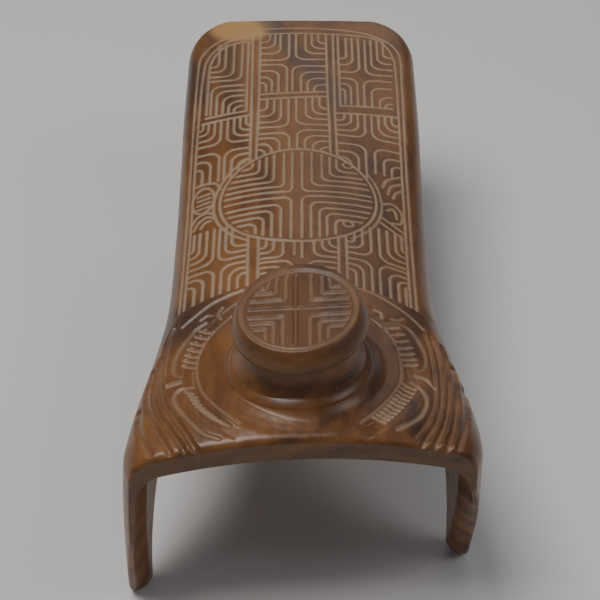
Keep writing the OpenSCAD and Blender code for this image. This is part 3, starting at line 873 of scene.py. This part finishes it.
# ---------------------------------------------------------------- wood
def wood_material(name, tone=1.0, dull=0.0):
    mat = bpy.data.materials.new(name)
    mat.use_nodes = True
    nt = mat.node_tree
    nt.nodes.clear()
    new = nt.nodes.new

    def link(a, b):
        nt.links.new(a, b)

    def math_node(op, a, b=None, c=None):
        n = new("ShaderNodeMath")
        n.operation = op
        for i, v in enumerate((a, b, c)):
            if v is None:
                continue
            if isinstance(v, (int, float)):
                n.inputs[i].default_value = v
            else:
                link(v, n.inputs[i])
        return n.outputs[0]

    def mix_rgb(fac, a, b, mode="MIX"):
        n = new("ShaderNodeMix")
        n.data_type = "RGBA"
        n.blend_type = mode
        n.clamp_result = True
        for sock, v in ((n.inputs[0], fac), (n.inputs[6], a), (n.inputs[7], b)):
            if isinstance(v, (int, float)):
                sock.default_value = v
            elif isinstance(v, tuple):
                sock.default_value = (*v, 1)
            else:
                link(v, sock)
        return n.outputs[2]

    def noise_node(vec, scale, detail=4.0, rough=0.55, distort=0.0):
        n = new("ShaderNodeTexNoise")
        n.inputs["Scale"].default_value = scale
        n.inputs["Detail"].default_value = detail
        n.inputs["Roughness"].default_value = rough
        n.inputs["Distortion"].default_value = distort
        link(vec, n.inputs["Vector"])
        return n.outputs["Fac"]

    def ramp(fac, stops):
        n = new("ShaderNodeValToRGB")
        el = n.color_ramp.elements
        while len(el) < len(stops):
            el.new(0.5)
        for e, (pos, col) in zip(el, stops):
            e.position = pos
            e.color = (*col, 1)
        link(fac, n.inputs[0])
        return n.outputs[0]

    def window(value, centre, half, soft):
        """1 where value is within half of centre, with soft shoulders."""
        d = math_node("ABSOLUTE", math_node("SUBTRACT", value, centre))
        return math_node("MULTIPLY", 1.0, smooth(d, half + soft, half))

    def smooth(value, lo, hi):
        n = new("ShaderNodeMapRange")
        n.interpolation_type = "SMOOTHSTEP"
        link(value, n.inputs["Value"])
        n.inputs["From Min"].default_value = lo
        n.inputs["From Max"].default_value = hi
        return n.outputs[0]

    coords = new("ShaderNodeTexCoord").outputs["Object"]
    sep = new("ShaderNodeSeparateXYZ")
    link(coords, sep.inputs[0])
    px, py, pz = sep.outputs
    # Plan position in millimetres, y counted from the front arch.
    mx = math_node("MULTIPLY", px, 1000.0)
    ms = math_node("MULTIPLY_ADD", py, 1000.0, -FRONT_Y)

    # The growth rings lie round a line along the block, a little under it and to the right.
    cloud = noise_node(coords, 17.0, 3.0, 0.5)
    ax = math_node("SUBTRACT", px, 0.02)
    az = math_node("ADD", pz, 0.035)
    radius = math_node("SQRT", math_node("ADD", math_node("MULTIPLY", ax, ax),
        math_node("MULTIPLY", az, az)))
    radius = math_node("MULTIPLY_ADD", cloud, 0.018, radius)
    grain = new("ShaderNodeCombineXYZ")
    link(radius, grain.inputs[0])
    link(math_node("MULTIPLY_ADD", px, 0.05, math_node("MULTIPLY", py, 0.11)), grain.inputs[1])
    link(math_node("MULTIPLY", px, 0.42), grain.inputs[2])
    grain_vec = grain.outputs[0]

    broad = noise_node(grain_vec, 34.0, 3.0, 0.5, 0.5)
    fine = noise_node(grain_vec, 300.0, 5.0, 0.62, 0.3)
    pores = noise_node(grain_vec, 1100.0, 3.0, 0.6)
    rings = new("ShaderNodeTexWave")
    rings.wave_type = "BANDS"
    rings.bands_direction = "X"
    rings.inputs["Scale"].default_value = 34.0
    rings.inputs["Distortion"].default_value = 5.0
    rings.inputs["Detail"].default_value = 3.0
    rings.inputs["Detail Scale"].default_value = 1.2
    link(grain_vec, rings.inputs["Vector"])

    banding = math_node("MULTIPLY", rings.outputs["Fac"], 0.10)
    figure = math_node("ADD", math_node("MULTIPLY", broad, 0.50), banding)
    figure = math_node("ADD", figure, math_node("MULTIPLY", fine, 0.40))
    t = tone
    colour = ramp(figure, [
        (0.33, (0.050 * t, 0.019 * t, 0.007 * t)),
        (0.44, (0.135 * t, 0.050 * t, 0.014 * t)),
        (0.54, (0.215 * t, 0.083 * t, 0.022 * t)),
        (0.68, (0.300 * t, 0.128 * t, 0.036 * t)),
    ])
    shade = math_node("MULTIPLY_ADD", cloud, 0.45, 0.68)
    dark = new("ShaderNodeCombineColor")
    for i in range(3):
        link(shade, dark.inputs[i])
    colour = mix_rgb(1.0, colour, dark.outputs[0], "MULTIPLY")

    def paint(colour, mask, rgb):
        return mix_rgb(mask, colour, rgb)

    def blob(cx, cs, rx, rs, soft=0.5, wob=0.5):
        """A soft-edged patch in plan."""
        ux = math_node("DIVIDE", math_node("SUBTRACT", mx, cx), rx)
        us = math_node("DIVIDE", math_node("SUBTRACT", ms, cs), rs)
        r = math_node("SQRT", math_node("ADD", math_node("MULTIPLY", ux, ux), math_node("MULTIPLY", us, us)))
        r = math_node("MULTIPLY_ADD", math_node("SUBTRACT", cloud, 0.5), wob, r)
        return smooth(r, 1.0 + soft, 1.0 - soft)

    def streak(x0, s0, x1, s1, half, soft):
        """A band through two plan points."""
        length = math.hypot(x1 - x0, s1 - s0)
        nx, ns = -(s1 - s0) / length, (x1 - x0) / length
        d = math_node("MULTIPLY_ADD", mx, nx, math_node("MULTIPLY", ms, ns))
        d = math_node("SUBTRACT", d, x0 * nx + s0 * ns)
        d = math_node("MULTIPLY_ADD", math_node("SUBTRACT", broad, 0.5), 14.0, d)
        along = math_node("MULTIPLY_ADD", mx, -ns, math_node("MULTIPLY", ms, nx))
        start = x0 * -ns + s0 * nx
        band = window(d, 0.0, half, soft)
        a = math_node("SUBTRACT", along, start)
        ends = window(a, (x1 * -ns + s1 * nx - start) / 2, length / 2, 8.0)
        return math_node("MULTIPLY", band, ends)

    umber = (0.045, 0.020, 0.009)
    slate = (0.060, 0.040, 0.034)
    tan = (0.500, 0.270, 0.085)
    weak = lambda m, k: math_node("MULTIPLY", m, k)
    colour = paint(colour, weak(blob(-33, 324, 17, 14, 0.25, 0.3), 0.85), tan)
    colour = paint(colour, weak(streak(-17, 333, 22, 250, 2.5, 7), 0.62), slate)
    colour = paint(colour, weak(streak(-62, 300, -50, 262, 2.0, 6), 0.5), slate)
    colour = paint(colour, weak(streak(-38, 300, -30, 215, 1.5, 7), 0.5), umber)
    colour = paint(colour, weak(blob(-62, 262, 9, 26, 0.5), 0.5), umber)
    colour = paint(colour, weak(streak(-16, 205, -13, 150, 1.2, 5), 0.45), umber)
    colour = paint(colour, weak(blob(-52, 86, 22, 17, 0.5), 0.78), (0.050, 0.024, 0.016))
    colour = paint(colour, weak(blob(50, 92, 16, 7, 0.6), 0.45), umber)
    # A lighter, paler patch at the far right of the deck: painted sheen.
    colour = paint(colour, weak(blob(40, 318, 22, 10, 0.6), 0.25), (0.32, 0.16, 0.07))
    # The sawn front face is end grain, greener and duller.
    front = smooth(math_node("SUBTRACT", ms, math_node("MULTIPLY", mx, SLANT)), 1.6, 0.1)
    colour = paint(colour, weak(front, 0.55), (0.105, 0.055, 0.014))

    # Dust and wax left in the carved lines, and painted highlight on the hood's comb ticks, all mixed in as
    # one pale colour.
    attr = new("ShaderNodeAttribute")
    attr.attribute_name = "pale"
    pale = attr.outputs["Fac"]
    dust_and_highlight = math_node("MULTIPLY", pale, math_node("MULTIPLY_ADD", cloud, 1.0, 0.22))
    colour = mix_rgb(math_node("MINIMUM", dust_and_highlight, 0.85), colour, (0.40, 0.285, 0.185))

    bsdf = new("ShaderNodeBsdfPrincipled")
    out = new("ShaderNodeOutputMaterial")
    link(colour, bsdf.inputs["Base Color"])
    rough = math_node("MULTIPLY_ADD", cloud, 0.16, 0.24 + dull)
    rough = math_node("MULTIPLY_ADD", pale, 0.35, rough)
    rough = math_node("MULTIPLY_ADD", fine, 0.08, rough)
    link(rough, bsdf.inputs["Roughness"])
    bsdf.inputs["IOR"].default_value = 1.5
    bsdf.inputs["Coat Weight"].default_value = 0.15
    bsdf.inputs["Coat Roughness"].default_value = 0.22
    bump = new("ShaderNodeBump")
    bump.inputs["Strength"].default_value = 0.25
    bump.inputs["Distance"].default_value = 0.0004
    height = math_node("ADD", math_node("MULTIPLY", fine, 0.7), math_node("MULTIPLY", pores, 0.4))
    link(height, bump.inputs["Height"])
    link(bump.outputs[0], bsdf.inputs["Normal"])
    link(bsdf.outputs[0], out.inputs[0])
    return mat


# ---------------------------------------------------------------- build
STEP = 0.45
deck_s = np.concatenate([
    np.arange(HOOD_LEN, LENGTH - 6, STEP), LENGTH - 6 * np.cos(np.linspace(0, math.pi / 2, 18))])
deck_s = np.unique(np.round(np.append(deck_s, LENGTH), 4))
hood_s = np.concatenate([
    [0, 0.05, 0.12, 0.22, 0.35, 0.5, 0.7],
    np.arange(1.0, HOOD_LEN - 1.3, STEP),
    HOOD_LEN - np.array([1.3, 0.9, 0.55, 0.25, 0.08, 0])])


def count(length):
    return 4 * max(1, int(length / STEP / 4))


def made(obj, node, mat):
    obj.data.materials.append(mat)
    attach(obj, "root")
    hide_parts(node)
    return obj


deck_wood = wood_material("deck_wood", 0.86)
hood_wood = wood_material("hood_wood", 1.02)
disc_wood = wood_material("disc_wood", 0.76, 0.12)

deck_shell = shell_piece("deck_shell", deck_s, False, (count(52.5), count(12), count(26)), carve_deck)
made(deck_shell, "deck", deck_wood)
hood_shell = shell_piece("hood_shell", hood_s, True, (count(62), count(22), count(36)), carve_hood)
made(hood_shell, "hood", hood_wood)
for label, side, rear in (
    ("left_front_leg", LEFT, False), ("right_front_leg", RIGHT, False),
    ("left_rear_leg", LEFT, True), ("right_rear_leg", RIGHT, True),
):
    leg = leg_piece(label + "_shape", side, rear, STEP)
    made(leg, label, deck_wood if rear else hood_wood)
made(build_collar(), "knob_collar", hood_wood)
made(build_neck(), "knob_neck", hood_wood)
made(build_disc(STEP * 0.7), "knob_disc", disc_wood)

# ---------------------------------------------------------------- floor, light, camera
floor_mesh = bpy.data.meshes.new("floor")
floor_mesh.from_pydata([(-4, -4, 0), (4, -4, 0), (4, 6, 0), (-4, 6, 0)], [], [(0, 1, 2, 3)])
floor = bpy.data.objects.new("floor", floor_mesh)
bpy.context.scene.collection.objects.link(floor)
floor_mat = bpy.data.materials.new("floor_paper")
floor_mat.use_nodes = True
paper = floor_mat.node_tree.nodes["Principled BSDF"]
paper.inputs["Base Color"].default_value = (0.78, 0.77, 0.75, 1)
paper.inputs["Roughness"].default_value = 0.85
floor_mesh.materials.append(floor_mat)

world = bpy.data.worlds.new("studio")
bpy.context.scene.world = world
world.use_nodes = True
world.node_tree.nodes["Background"].inputs[0].default_value = (0.80, 0.84, 0.92, 1)
world.node_tree.nodes["Background"].inputs[1].default_value = 0.16


def area_light(name, at, look, size, power, colour):
    data = bpy.data.lights.new(name, "AREA")
    data.shape = "RECTANGLE"
    data.size, data.size_y = size
    data.energy = power
    data.color = colour
    obj = bpy.data.objects.new(name, data)
    obj.location = at
    obj.rotation_euler = (Vector(look) - Vector(at)).to_track_quat("-Z", "Y").to_euler()
    bpy.context.scene.collection.objects.link(obj)


area_light("key", (-0.45, -0.05, 1.4), (0, 0, 0.08), (0.8, 0.7), 13.0, (1.0, 0.98, 0.96))
area_light("back", (0.35, 1.3, 1.1), (0, 0, 0.08), (1.2, 0.8), 2.0, (0.97, 0.95, 0.94))
area_light("right", (1.0, -0.3, 1.0), (0, -0.05, 0.08), (0.6, 0.5), 2.6, (0.96, 0.96, 0.98))

cam_data = bpy.data.cameras.new("camera")
cam_data.sensor_width = 36.0
cam_data.lens = 102.0
cam = bpy.data.objects.new("camera", cam_data)
cam.location = (0.0, (FRONT_Y - 496) / 1000, (CREST_H + 504) / 1000)
cam.rotation_euler = (math.radians(90 - 40.7), 0, 0)
bpy.context.scene.collection.objects.link(cam)
bpy.context.scene.camera = cam
